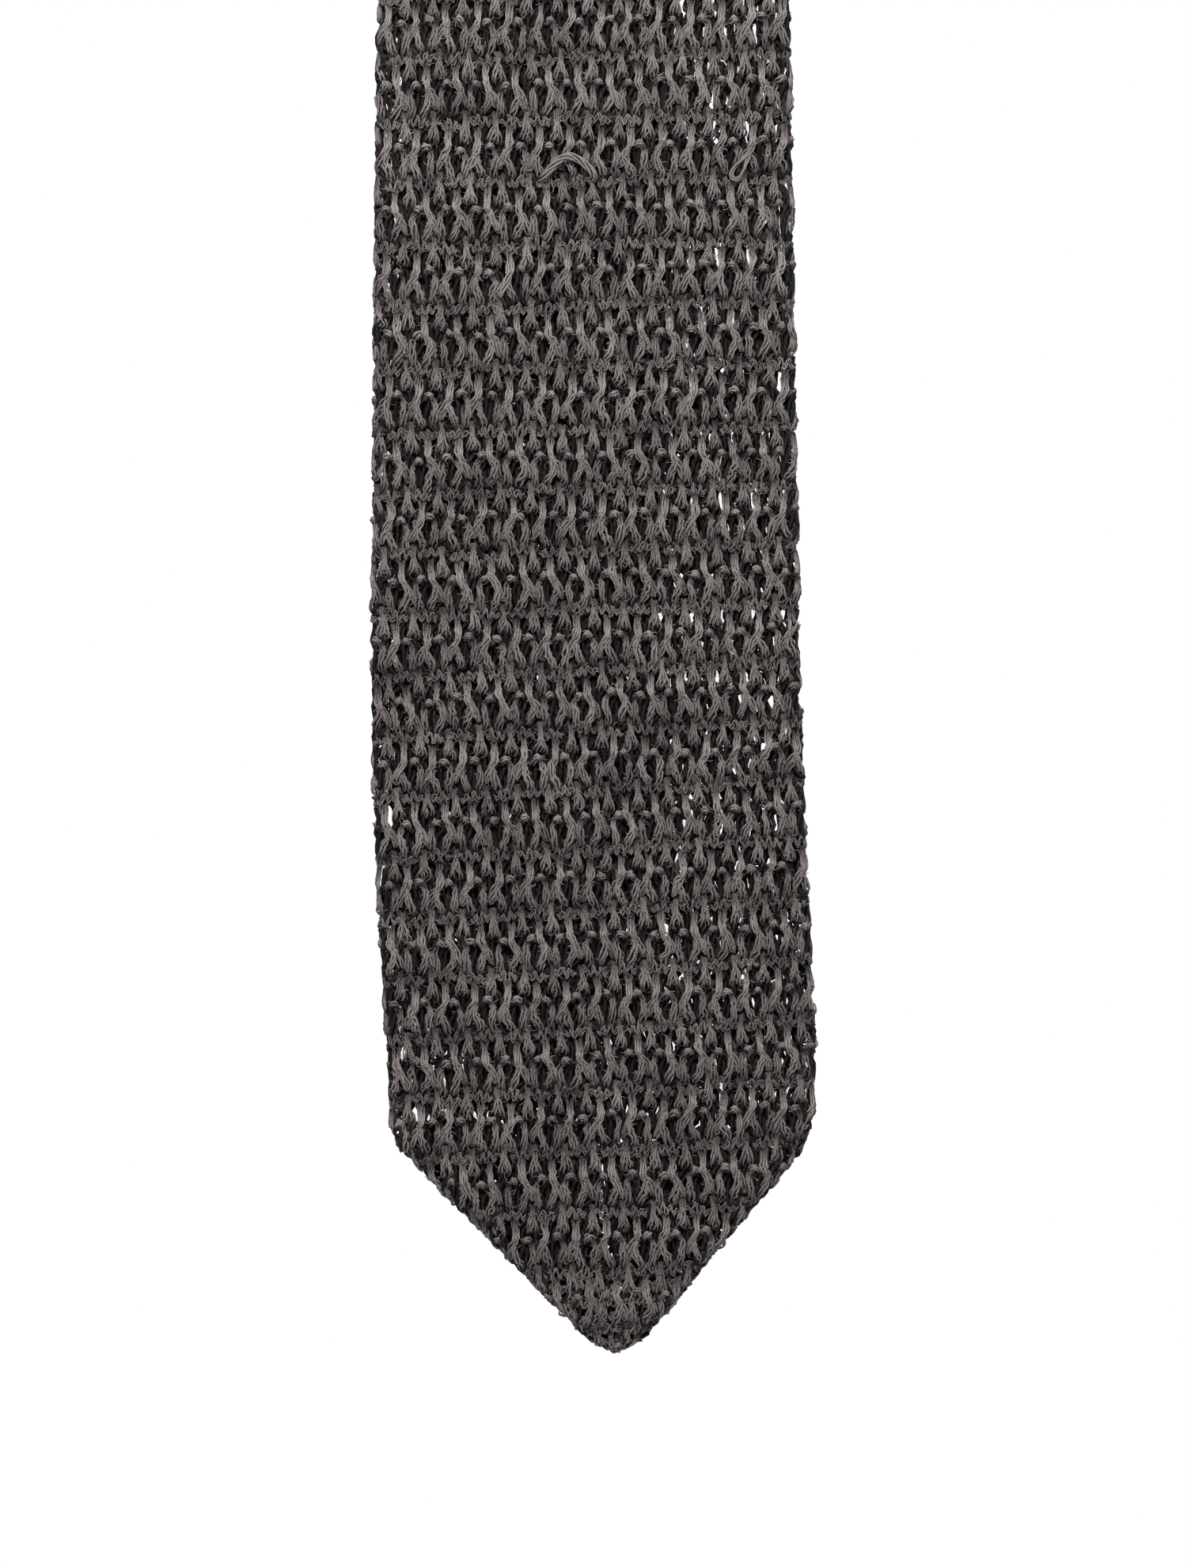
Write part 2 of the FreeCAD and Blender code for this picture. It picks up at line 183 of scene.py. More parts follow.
# Stitch paths as (across in wales, down in rows, outward in mm, how far apart the strands lie), for a row
# that leans left
LOOP_PATH = [
    (-0.50, 0.97, -0.30, 1.0),
    (-0.41, 0.93, -0.25, 1.0),
    (-0.33, 0.86, 0.00, 1.5),
    (-0.34, 0.76, 0.35, 1.3),
    (-0.36, 0.65, 0.50, 1.2),
    (-0.39, 0.55, 0.50, 1.0),
    (-0.36, 0.47, 0.10, 0.9),
    (-0.30, 0.41, 0.00, 0.8),
    (-0.24, 0.35, 0.60, 0.8),
    (-0.18, 0.34, 0.75, 0.8),
    (-0.11, 0.37, 0.35, 0.8),
    (-0.05, 0.43, -0.35, 0.8),
    (0.06, 0.46, -0.45, 0.8),
    (0.15, 0.43, 0.00, 0.8),
    (0.23, 0.48, 0.50, 0.9),
    (0.23, 0.57, 0.60, 1.0),
    (0.19, 0.66, 0.58, 1.2),
    (0.12, 0.75, 0.50, 1.3),
    (0.06, 0.83, 0.25, 1.5),
    (0.07, 0.91, -0.25, 1.0),
    (0.15, 0.95, -0.35, 1.0),
    (0.28, 0.93, -0.30, 1.0),
    (0.40, 0.98, -0.30, 1.0),
]
UPRIGHT_PATH = [
    (-0.600, -0.05, -0.40, 0.7),
    (-0.520, -0.14, -0.10, 0.7),
    (-0.475, -0.20, 0.00, 0.7),
    (-0.460, -0.11, 0.15, 0.7),
    (-0.455, -0.02, 0.40, 0.7),
    (-0.490, 0.08, 0.58, 1.1),
    (-0.530, 0.17, 0.55, 1.3),
    (-0.570, 0.26, 0.20, 1.5),
    (-0.480, 0.31, -0.45, 1.7),
    (-0.360, 0.31, -0.45, 1.7),
    (-0.270, 0.26, 0.20, 1.5),
    (-0.310, 0.17, 0.55, 1.3),
    (-0.360, 0.08, 0.58, 1.1),
    (-0.395, -0.02, 0.40, 0.7),
    (-0.390, -0.11, 0.15, 0.7),
    (-0.375, -0.20, 0.00, 0.7),
    (-0.300, -0.13, -0.25, 0.7),
    (-0.160, -0.03, -0.40, 0.9),
    (-0.020, 0.00, -0.20, 0.9),
    (0.070, 0.06, 0.00, 0.9),
    (0.085, 0.16, 0.35, 0.9),
    (0.085, 0.26, 0.75, 0.9),
    (0.080, 0.34, 0.98, 0.9),
    (0.140, 0.42, 0.70, 0.9),
    (0.240, 0.50, 0.60, 1.3),
    (0.340, 0.60, 0.52, 1.3),
    (0.420, 0.70, 0.35, 1.3),
    (0.470, 0.74, 0.20, 1.3),
    (0.470, 0.65, 0.40, 1.3),
    (0.400, 0.55, 0.50, 1.3),
    (0.300, 0.47, 0.60, 1.3),
    (0.230, 0.41, 0.75, 0.9),
    (0.190, 0.34, 0.98, 0.9),
    (0.190, 0.26, 0.75, 0.9),
    (0.190, 0.16, 0.35, 0.9),
    (0.210, 0.06, 0.00, 0.9),
    (0.290, 0.00, -0.25, 0.9),
]
FILL_PATH = [
    (-0.500, 0.01, 0.20, 1.0),
    (-0.460, -0.05, 0.35, 1.0),
    (-0.430, 0.05, 0.50, 1.0),
    (-0.425, 0.15, 0.58, 1.6),
    (-0.420, 0.25, 0.35, 1.6),
    (-0.380, 0.22, -0.20, 1.0),
    (-0.300, 0.05, -0.40, 1.0),
    (-0.220, -0.04, 0.25, 1.0),
    (-0.160, 0.04, 0.40, 1.0),
    (-0.100, -0.04, 0.30, 1.0),
    (-0.050, -0.10, 0.40, 1.0),
    (0.000, 0.00, 0.35, 1.0),
    (0.060, 0.05, 0.30, 1.0),
    (0.120, -0.06, 0.40, 1.0),
    (0.180, -0.14, 0.40, 1.0),
    (0.240, -0.05, 0.30, 1.0),
    (0.300, 0.03, 0.40, 1.0),
    (0.370, -0.05, 0.25, 1.0),
    (0.440, -0.09, 0.35, 1.0),
]
GROUND_PATH = [
    (-0.500, 0.36, -0.40, 1.0),
    (-0.380, 0.20, -0.50, 1.0),
    (-0.200, 0.04, -0.50, 1.0),
    (-0.070, 0.14, -0.50, 1.0),
    (-0.040, 0.32, -0.50, 1.0),
    (-0.120, 0.50, -0.55, 1.0),
    (-0.130, 0.70, -0.55, 1.0),
    (-0.060, 0.88, -0.50, 1.0),
    (0.100, 0.90, -0.45, 1.0),
    (0.360, 0.74, -0.50, 1.0),
    (0.460, 0.56, -0.50, 1.0),
]
# One stitch of plain knit, as (across, down, outward)
PLAIN_PATH = [
    (0.00, 1.00, -0.15),
    (0.13, 0.85, 0.10),
    (0.23, 0.42, 0.25),
    (0.19, 0.00, 0.10),
    (0.30, -0.25, -0.20),
    (0.50, -0.34, -0.30),
    (0.70, -0.25, -0.20),
    (0.81, 0.00, 0.10),
    (0.77, 0.42, 0.25),
    (0.87, 0.85, 0.10),
]


# -------------------------------- the strip's shape
def along(table, s, column):
    return np.interp(s, table[:, 0], table[:, column])


def round_tube(s, q, w):
    """Sideways place and depth of a point that is q round the flattened tube and w out of it."""
    half = along(STATIONS, s, 1) / 2 - MIDDLE
    past = np.abs(q) - half
    turn = np.clip(past / LAYER, 0, math.pi)
    tight = np.clip(past / EDGE_TIGHT + 1, 0, 1) * np.clip((math.pi * LAYER - past) / EDGE_TIGHT + 1, 0, 1)
    w = w + tight * (EDGE_LEVEL - w) * EDGE_FLAT
    radius = LAYER + w
    flat = half + np.minimum(past, 0) - np.maximum(past - math.pi * LAYER, 0)
    x = np.sign(q) * (flat + radius * np.sin(turn))
    return x + along(STATIONS, s, 2), MIDDLE - radius * np.cos(turn)


def half_girth(s):
    """Half the way round the tube, from the middle of its face to the seam."""
    return along(STATIONS, s, 1) - 2 * MIDDLE + math.pi * LAYER


class Point:
    """A blade's pointed end: the square end of the tube with its two corners folded to the back."""

    def __init__(self, end, shoulder, shoulder_shift, width, apex, shift, tip_radius):
        self.end = end  # +1 at the front tip and -1 at the tail's, where s gets smaller towards the tip
        self.apex = np.array([shift, apex])
        self.normals = []
        for hand in (-1, 1):
            corner = np.array([shoulder_shift + hand * width / 2, shoulder])
            edge = self.apex - corner
            normal = np.array([hand * edge[1], -hand * edge[0]])
            self.normals.append(normal / np.linalg.norm(normal))
        self.lean = (shoulder_shift - shift) / (apex - shoulder)
        both = self.normals[0] + self.normals[1]
        half_angle_sine = np.linalg.norm(both) / 2
        self.radius = tip_radius
        inward = -both / np.linalg.norm(both)
        self.centre = self.apex + inward * tip_radius / half_angle_sine

    def drop(self, s):
        return s if self.end > 0 else -ARC - s

    def fold(self, x, s, depth):
        """Folds the corners under and rounds the tip. Also says which points are cut away."""
        drop = self.drop(s)
        e = [(x - self.apex[0]) * n[0] + (drop - self.apex[1]) * n[1] for n in self.normals]
        right = e[1] > e[0]
        e = np.where(right, e[1], e[0])
        nx = np.where(right, self.normals[1][0], self.normals[0][0])
        nd = np.where(right, self.normals[1][1], self.normals[0][1])
        past = e + FOLD_IN
        level = MIDDLE + np.where(depth < MIDDLE, -1, 1) * (LAYER + EDGE_LEVEL)
        depth = depth + np.clip(past / FOLD_TIGHT + 1, 0, 1) * (level - depth) * EDGE_FLAT
        radius = np.maximum(DEPTH + FOLD_GAP - depth, 0.05)
        turn = np.clip(past / radius, 0, math.pi)
        under = np.maximum(past - math.pi * radius, 0)
        new_e = -FOLD_IN + np.minimum(past, 0) + radius * np.sin(turn) - under
        folded = turn > 0
        new_x = x + (new_e - e) * nx
        new_drop = drop + (new_e - e) * nd
        new_depth = np.where(folded, DEPTH + FOLD_GAP - radius * np.cos(turn), depth)
        middle = self.apex[0] + self.lean * (self.apex[1] - new_drop)
        side = np.where(right, 1, -1)
        crossed = (turn > 2.0) & ((new_x - middle) * side < FOLD_MEET)
        gone = crossed | (drop > self.apex[1])
        new_x, new_drop = self.round_tip(new_x, new_drop)
        return new_x, new_drop if self.end > 0 else -ARC - new_drop, new_depth, gone

    def round_tip(self, x, drop):
        dx, dd = x - self.centre[0], drop - self.centre[1]
        distance = np.hypot(dx, dd) + 1e-9
        facing = np.maximum(
            (dx * self.normals[0][0] + dd * self.normals[0][1]) / distance,
            (dx * self.normals[1][0] + dd * self.normals[1][1]) / distance,
        )
        tip_way = self.apex - self.centre
        tip_way = tip_way / np.linalg.norm(tip_way)
        ahead = (dx * tip_way[0] + dd * tip_way[1]) / distance
        limit = np.dot(tip_way, self.normals[0])
        in_sector = ahead > limit
        sharp = self.radius / np.clip(facing, 0.2, 1)
        pull = 1 - (1 - self.radius / sharp) * np.clip(distance / sharp, 0, 1.2) ** 1.5
        pull = np.where(in_sector, pull, 1)
        return self.centre[0] + dx * pull, self.centre[1] + dd * pull


FRONT_POINT = Point(
    1, FRONT_SHOULDER, FRONT_SHOULDER_SHIFT, FRONT_END_WIDTH, FRONT_APEX, FRONT_APEX_SHIFT, FRONT_TIP_RADIUS
)
TAIL_POINT = Point(
    -1, TAIL_SHOULDER, TAIL_SHOULDER_SHIFT, TAIL_END_WIDTH, TAIL_APEX, TAIL_APEX_SHIFT, TAIL_TIP_RADIUS
)


def place(x, s, depth):
    """A point in space, in metres, from how far it is across, along and through the strip."""
    radius = RAIL_RADIUS + DEPTH - depth
    turn = np.clip(-s / ARC_RADIUS, 0, math.pi)
    below = np.where(s > 0, s, np.where(s < -ARC, -ARC - s, 0))
    y = -radius * np.cos(turn)
    z = radius * np.sin(turn) - below
    return np.stack([x, y, z], axis=-1) * MM


# -------------------------------- tubes of yarn and thread
def smooth_path(points, steps):
    """Samples a Catmull-Rom curve through points, an array of (..., count, dimensions)."""
    before = np.concatenate([points[..., :1, :], points[..., :-1, :]], axis=-2)
    after = np.concatenate([points[..., 1:, :], points[..., -1:, :]], axis=-2)
    after2 = np.concatenate([points[..., 2:, :], points[..., -1:, :], points[..., -1:, :]], axis=-2)
    t = (np.arange(steps) / steps)[:, None]
    p0, p1, p2, p3 = (p[..., :-1, None, :] for p in (before, points, after, after2))
    curve = 0.5 * (
        2 * p1
        + (p2 - p0) * t
        + (2 * p0 - 5 * p1 + 4 * p2 - p3) * t**2
        + (3 * p1 - p0 - 3 * p2 + p3) * t**3
    )
    curve = curve.reshape(*points.shape[:-2], -1, points.shape[-1])
    return np.concatenate([curve, points[..., -1:, :]], axis=-2)


def unit(v):
    return v / np.maximum(np.linalg.norm(v, axis=-1, keepdims=True), 1e-12)


def frames(paths):
    """Two directions across each path, carried along it without twisting."""
    tangent = unit(np.gradient(paths, axis=-2))
    first = np.empty_like(tangent)
    seed = np.where(np.abs(tangent[..., 0, :1]) < 0.8, [1.0, 0, 0], [0, 1.0, 0])
    last = unit(np.cross(tangent[..., 0, :], seed))
    for i in range(paths.shape[-2]):
        t = tangent[..., i, :]
        last = unit(last - (last * t).sum(-1, keepdims=True) * t)
        first[..., i, :] = last
    return first, np.cross(tangent, first)


def add_object(name, data):
    made = bpy.data.objects.new(name, data)
    bpy.context.scene.collection.objects.link(made)
    return made


class TubeMesh:
    """Collects tubes along paths and makes one mesh of them, with a map of (round, along) on each."""

    def __init__(self, sides, unevenness=0.0):
        self.sides = sides
        self.unevenness = unevenness  # how much the thickness wanders, as a share of it
        self.rings, self.lengths, self.counts, self.reliefs = [], [], [], []

    def add(self, path, radius, across, up, relief=None):
        angle = np.arange(self.sides) * 2 * math.pi / self.sides
        random = np.random.default_rng(len(self.rings))
        uneven = random.uniform(1 - self.unevenness, 1 + self.unevenness, len(path))
        radius = radius * uneven[:, None, None]
        ring = (
            path[:, None, :]
            + radius * np.cos(angle)[None, :, None] * across[:, None, :]
            + radius * np.sin(angle)[None, :, None] * up[:, None, :]
        )
        steps = np.linalg.norm(np.diff(path, axis=0), axis=1)
        self.rings.append(ring)
        self.lengths.append(np.concatenate([[0], np.cumsum(steps)]) / MM)
        self.counts.append(len(path))
        self.reliefs.append(np.full(len(path), UNSHADED_RELIEF) if relief is None else relief)

    def add_path(self, points, radius, steps=4, ends=1, spread=0.0, twist=0.0, phase=0.0):
        """A tube, or several twisted together, along a curve through points in metres."""
        path = smooth_path(np.asarray(points, float), steps)
        across, up = frames(path)
        length = np.concatenate([[0], np.cumsum(np.linalg.norm(np.diff(path, axis=0), axis=1))])
        for k in range(ends):
            angle = phase + 2 * math.pi * (k / ends + length / (twist * MM) if twist else k / ends)
            angle = np.broadcast_to(angle, length.shape)[:, None]
            centre = path + spread * MM * (np.cos(angle) * across + np.sin(angle) * up)
            self.add(centre, radius * MM, *frames(centre))

    def make(self, name):
        sides = self.sides
        verts = np.concatenate([r.reshape(-1, 3) for r in self.rings])
        quads, quad_uv, quad_relief, caps = [], [], [], []
        start = 0
        round_uv = np.arange(sides + 1) / sides
        for count, length, relief in zip(self.counts, self.lengths, self.reliefs):
            ring = start + np.arange(count - 1)[:, None] * sides
            here = ring + np.arange(sides)
            beside = ring + (np.arange(sides) + 1) % sides
            quads.append(np.stack([here, beside, beside + sides, here + sides], axis=-1).reshape(-1, 4))
            u0 = np.broadcast_to(round_uv[:-1], here.shape)
            u1 = np.broadcast_to(round_uv[1:], here.shape)
            v0 = np.broadcast_to(length[:-1, None], here.shape)
            v1 = np.broadcast_to(length[1:, None], here.shape)
            corners = [np.stack(pair, -1) for pair in ((u0, v0), (u1, v0), (u1, v1), (u0, v1))]
            quad_uv.append(np.stack(corners, axis=2).reshape(-1, 2))
            ends = np.stack([relief[:-1], relief[:-1], relief[1:], relief[1:]], axis=-1)
            quad_relief.append(np.repeat(ends[:, None, :], sides, axis=1).ravel())
            caps.append(start + np.arange(sides)[::-1])
            caps.append(start + (count - 1) * sides + np.arange(sides))
            start += count * sides
        quads, caps = np.concatenate(quads), np.array(caps)
        loops = np.concatenate([quads.ravel(), caps.ravel()]).astype(np.int32)
        cap_starts = len(quads) * 4 + np.arange(len(caps)) * sides
        starts = np.concatenate([np.arange(len(quads)) * 4, cap_starts])
        uv = np.concatenate(quad_uv + [np.zeros((caps.size, 2))])
        mesh = bpy.data.meshes.new(name)
        mesh.vertices.add(len(verts))
        mesh.vertices.foreach_set("co", verts.ravel().astype(np.float32))
        mesh.loops.add(len(loops))
        mesh.loops.foreach_set("vertex_index", loops)
        mesh.polygons.add(len(starts))
        mesh.polygons.foreach_set("loop_start", starts.astype(np.int32))
        mesh.polygons.foreach_set("use_smooth", np.ones(len(starts), bool))
        mesh.uv_layers.new(name="yarn").data.foreach_set("uv", uv.ravel().astype(np.float32))
        # The relief map holds how far out each yarn stands, which sets the painted shade in its colour
        height = np.concatenate(quad_relief + [np.zeros(caps.size)])
        height = np.stack([height, 0 * height], axis=-1)
        mesh.uv_layers.new(name="relief").data.foreach_set("uv", height.ravel().astype(np.float32))
        mesh.update(calc_edges=True)
        mesh.validate()
        return add_object(name, mesh)


# -------------------------------- knitting
def row_start(n):
    return ROW_ORIGIN + n * (ROW_LOW if n > 0 else ROW)


def rows_between(low, high):
    """Numbers of the rows whose start is from low to high along the strip."""
    first = math.floor((low - ROW_ORIGIN) / min(ROW, ROW_LOW))
    last = math.ceil((high - ROW_ORIGIN) / min(ROW, ROW_LOW)) if high > ROW_ORIGIN else 1
    return [n for n in range(first, last + 1) if low <= row_start(n) < high]


def row_noise(n, count, seed):
    """Random numbers that belong to a row, the same whichever piece the row is made in."""
    return np.random.default_rng([seed, n + 1000]).normal(size=(count, 4))


def course(pattern, rows, steps, seed):
    """Places along one course of yarn in each row: arrays of s, q, w and the strands' spread."""
    pattern = np.array(pattern)
    wales = np.arange(-WALES_EACH_WAY, WALES_EACH_WAY + 1)
    paths = []
    for n in rows:
        lean = 1 if n % 2 == 0 else -1
        stitch = pattern if lean == 1 else pattern[::-1] * [-1, 1, 1, 1]
        path = (stitch[None] + np.stack([wales, *[0 * wales] * 3], -1)[:, None]).reshape(-1, 4)
        stray = row_noise(n, len(path), seed) * POINT_STRAY
        whole = np.repeat(row_noise(n, len(wales), seed + 1) * STITCH_STRAY, len(stitch), axis=0)
        paths.append(path + (stray + whole))
    curve = smooth_path(np.array(paths), steps)
    start = np.array([row_start(n) for n in rows])[:, None]
    pitch = np.array([row_start(n + 1) - row_start(n) for n in rows])[:, None]
    across = curve[..., 0] * WALE + WALE_PHASE
    s = start + curve[..., 1] * pitch + along(DRIFT, start, 2) * across
    q = across + along(DRIFT, s, 1) - along(STATIONS, s, 2)
    return s, q, curve[..., 2], curve[..., 3]


def knit(mesh, pattern, rows, part, steps, seed, radius, ends=1, spread=0.0, twist=3.0):
    """Adds one course of yarn in each row to a mesh, on the face or the back of the tube."""
    s, q, w, apart = course(pattern, rows, steps, seed)
    x, depth = round_tube(s, q, w)
    gone = np.abs(q) > half_girth(s) - SEAM_HALF
    edge = along(STATIONS, s, 1) / 2 - MIDDLE + LAYER * math.pi / 2
    if part == "face":
        hidden = np.abs(q) > edge + LAYER_OVERLAP
    else:
        hidden = np.abs(q) < edge - LAYER_OVERLAP
    point = FRONT_POINT if rows[-1] > 0 else TAIL_POINT
    x, s, depth, cut = point.fold(x, s, depth)
    keep = ~(gone | hidden | cut)
    paths = place(x, s, depth)
    across, up = frames(paths)
    length = np.cumsum(np.linalg.norm(np.diff(paths, axis=1, prepend=paths[:, :1]), axis=-1), axis=1)
    for k in range(ends):
        random = np.random.default_rng([seed, k, len(rows)])
        stray = random.normal(size=(*length.shape, 2)) * STRAND_STRAY
        angle = 2 * math.pi * (k / ends + length / (twist * MM) + stray[..., 0])[..., None]
        out = spread * MM * (apart[..., None] + stray[..., 1:])
        centres = paths + out * (np.cos(angle) * across + np.sin(angle) * up)
        end_across, end_up = frames(centres)
        for row in range(len(rows)):
            for run in runs_of(keep[row]):
                mesh.add(centres[row][run], radius * MM, end_across[row][run], end_up[row][run], w[row][run])


def loose_fibres(name, low, high):
    """Short hairs that have worked out of the yarns, most of them lying down along the face."""
    rows = rows_between(low, high)
    random = np.random.default_rng(round(low))
    mesh = TubeMesh(3)
    sources = ((LOOP_PATH, LOOP_SEED, 0.45), (UPRIGHT_PATH, UPRIGHT_SEED, 0.35), (FILL_PATH, FILL_SEED, 0.2))
    for pattern, seed, share in sources:
        s, q, w, _ = course(pattern, rows, 1, seed)
        standing = np.flatnonzero((w > 0) & (np.abs(q) < along(STATIONS, s, 1) / 2))
        pick = random.choice(standing, round((high - low) * FIBRES_PER_MM * share))
        heading = random.choice([0.5, 0.5, -0.5], (len(pick), 1)) * math.pi
        heading = heading + random.normal(0, 0.6, (len(pick), 1))
        reach = random.uniform(0.3, 1.0, (len(pick), 1)) * np.linspace(0, 1, 4)
        heading = heading + reach * random.normal(0, 1.0, (len(pick), 1))
        side = random.uniform(-0.3, 0.3, (len(pick), 1))
        q = q.ravel()[pick][:, None] + side + reach * np.cos(heading)
        s = s.ravel()[pick][:, None] + reach * np.sin(heading)
        w = w.ravel()[pick][:, None] + 0.25 + reach * random.normal(0, 0.4, (len(pick), 1))
        x, depth = round_tube(s, q, w)
        x, s, depth, cut = FRONT_POINT.fold(x, s, depth)
        paths = place(x, s, depth)
        across, up = frames(paths)
        for k in np.flatnonzero(~cut.any(axis=1)):
            mesh.add(paths[k], FIBRE_RADIUS * MM, across[k], up[k], w[k])
    return dress(mesh.make(name), KNIT_YARN)


def runs_of(keep):
    """Slices of the stretches of a path that are kept."""
    edges = np.flatnonzero(np.diff(np.concatenate([[0], keep.astype(int), [0]])))
    return [slice(a, b) for a, b in zip(edges[::2], edges[1::2]) if b - a >= 4]


def cloth_piece(name, rows, part, fine):
    """The looping yarn of some rows, which is most of the cloth."""
    mesh = TubeMesh(4 if fine else 3, unevenness=0.16)
    if fine:
        knit(mesh, LOOP_PATH, rows, part, 2, LOOP_SEED, **LOOP_YARN)
    else:
        knit(mesh, LOOP_PATH, rows, part, 1, LOOP_SEED, COARSE_LOOP)
        knit(mesh, GROUND_PATH, rows, part, 1, GROUND_SEED, COARSE_GROUND)
    return mesh.make(name)


def ground_piece(name, rows, part):
    """The floats behind the holes, where the fine work has them as a piece of their own."""
    mesh = TubeMesh(4)
    knit(mesh, GROUND_PATH, rows, part, 2, GROUND_SEED, **GROUND_YARN)
    return mesh.make(name)


def proud_piece(name, rows, part, fine):
    """The yarns that stand proud of the cloth as short uprights and fans."""
    mesh = TubeMesh(4 if fine else 3, unevenness=0.16)
    if fine:
        knit(mesh, UPRIGHT_PATH, rows, part, 2, UPRIGHT_SEED, **UPRIGHT_YARN)
        knit(mesh, FILL_PATH, rows, part, 2, FILL_SEED, **FILL_YARN)
        if tip := [n for n in rows if row_start(n) > FRONT_APEX - TIP_FELT]:
            for k, shift in enumerate((0.25, 0.5, 0.75)):
                felt = np.array(FILL_PATH) + [0, shift, 0, 0]
                knit(mesh, felt, tip, part, 2, FELT_SEED + k, **FELT_YARN)
    else:
        knit(mesh, UPRIGHT_PATH, rows, part, 1, UPRIGHT_SEED, COARSE_UPRIGHT)
        knit(mesh, FILL_PATH, rows, part, 1, FILL_SEED, COARSE_FILL)
    return mesh.make(name)


# -------------------------------- materials
FIBRE_SCALE, DYE_SCALE, WEAVE_SCALE = 2600, 140, 1500
BUMP_DISTANCE = 0.0001
WOOL_SHINE = 0.01
WEAVE_ROUGHNESS = 0.75


def material(name):
    made = bpy.data.materials.new(name)
    made.use_nodes = True
    return made, made.node_tree.nodes, made.node_tree.links, made.node_tree.nodes["Principled BSDF"]


def feed(links, socket, value):
    """Links a node's output to a socket, or sets the socket if it's a plain number."""
    if isinstance(value, (int, float)):
        socket.default_value = value
    else:
        links.new(value, socket)


def calculate(nodes, links, operation, *values, clamp=False):
    node = nodes.new("ShaderNodeMath")
    node.operation = operation
    node.use_clamp = clamp
    for socket, value in zip(node.inputs, values):
        feed(links, socket, value)
    return node.outputs[0]


def uv_parts(nodes, links, name):
    uv = nodes.new("ShaderNodeUVMap")
    uv.uv_map = name
    split = nodes.new("ShaderNodeSeparateXYZ")
    links.new(uv.outputs["UV"], split.inputs[0])
    return split.outputs["X"], split.outputs["Y"]


def noise(nodes, links, scale, detail):
    where = nodes.new("ShaderNodeTexCoord")
    node = nodes.new("ShaderNodeTexNoise")
    node.inputs["Scale"].default_value = scale
    node.inputs["Detail"].default_value = detail
    links.new(where.outputs["Object"], node.inputs["Vector"])
    return node.outputs["Fac"]


def two_tones(nodes, links, shade, dark, light, low, high, shader):
    """Colours a shader from dark to light as shade goes from low to high."""
    ramp = nodes.new("ShaderNodeValToRGB")
    ramp.color_ramp.elements[0].position = low
    ramp.color_ramp.elements[0].color = (*dark, 1)
    ramp.color_ramp.elements[1].position = high
    ramp.color_ramp.elements[1].color = (*light, 1)
    links.new(shade, ramp.inputs["Fac"])
    links.new(ramp.outputs["Color"], shader.inputs["Base Color"])


def raise_surface(nodes, links, height, strength, shader):
    raised = nodes.new("ShaderNodeBump")
    raised.inputs["Strength"].default_value = strength
    raised.inputs["Distance"].default_value = BUMP_DISTANCE
    links.new(height, raised.inputs["Height"])
    links.new(raised.outputs["Normal"], shader.inputs["Normal"])


def yarn_material(name, painted_shade_colour, proud, ply, roughness, bump):
    """Plied wool: slanting plies along the yarn, uneven dye and short fibres.

    Painted shade: yarn that lies deep in the cloth is given a darker base colour for the shade that falls in
    the hollows of the knit, and the grooves between the plies are painted darker too.
    """
    made, nodes, links, shader = material(name)
    around, length = uv_parts(nodes, links, "yarn")
    height, _ = uv_parts(nodes, links, "relief")
    # The ply stripes paint shade into the grooves between the plies; the dye and fibre noise added to them is
    # the yarn's own unevenness
    turns = calculate(nodes, links, "MULTIPLY_ADD", length, 1 / ply, around)
    wave = calculate(nodes, links, "SINE", calculate(nodes, links, "MULTIPLY", turns, 2 * math.pi))
    fibres = noise(nodes, links, FIBRE_SCALE, 3)
    dye = noise(nodes, links, DYE_SCALE, 4)
    texture = calculate(nodes, links, "MULTIPLY_ADD", wave, 0.35, fibres)
    uneven = calculate(nodes, links, "MULTIPLY_ADD", texture, 0.4, dye)
    uneven = calculate(nodes, links, "MULTIPLY_ADD", uneven, 0.5, -0.35)
    # Painted shade: the deeper a yarn lies in the cloth, by its relief, the darker its base colour
    out = calculate(nodes, links, "SUBTRACT", height, DARKEST_SHADE_RELIEF)
    out = calculate(nodes, links, "MULTIPLY", out, 1 / (UNSHADED_RELIEF - DARKEST_SHADE_RELIEF), clamp=True)
    shade = calculate(nodes, links, "ADD", out, uneven, clamp=True)
    shade = calculate(nodes, links, "POWER", shade, PAINTED_SHADE_CURVE)
    two_tones(nodes, links, shade, painted_shade_colour, proud, 0, 1, shader)
    raise_surface(nodes, links, texture, bump, shader)
    shader.inputs["Roughness"].default_value = roughness
    shader.inputs["Specular IOR Level"].default_value = WOOL_SHINE
    return made


# First colour: the painted shade of yarn that lies deep in the cloth; second: the yarn's own colour where it
# stands out
KNIT_YARN = yarn_material(
    "charcoal_knit_yarn", (0.0032, 0.0028, 0.0027), (0.0597, 0.0524, 0.051), ply=1.1, roughness=0.95, bump=0.5
)
THREAD = yarn_material(
    "charcoal_thread", (0.016, 0.0142, 0.014), (0.056, 0.05, 0.049), ply=0.5, roughness=0.7, bump=0.4
)


def dress(piece, made):
    piece.data.materials.append(made)
    return piece


# -------------------------------- the knitted pieces
FRONT_TOP = -ARC / 2
TAIL_END = -ARC - TAIL_APEX - 9


def knit_stretch(name, low, high, part, fine=False):
    """One layer of a stretch of the strip: a piece of cloth, and the other yarns that go with it."""
    rows = rows_between(low, high)
    cloth = cloth_piece(f"{name}_knit", rows, part, fine)
    others = [proud_piece(f"{name}_proud_yarn", rows, part, fine)]
    if fine:
        others.append(ground_piece(f"{name}_ground_yarn", rows, part))
    for piece in (cloth, *others):
        dress(piece, KNIT_YARN)
    return cloth, *others


def ride_all(pieces, body):
    for piece in pieces:
        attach(piece, body)


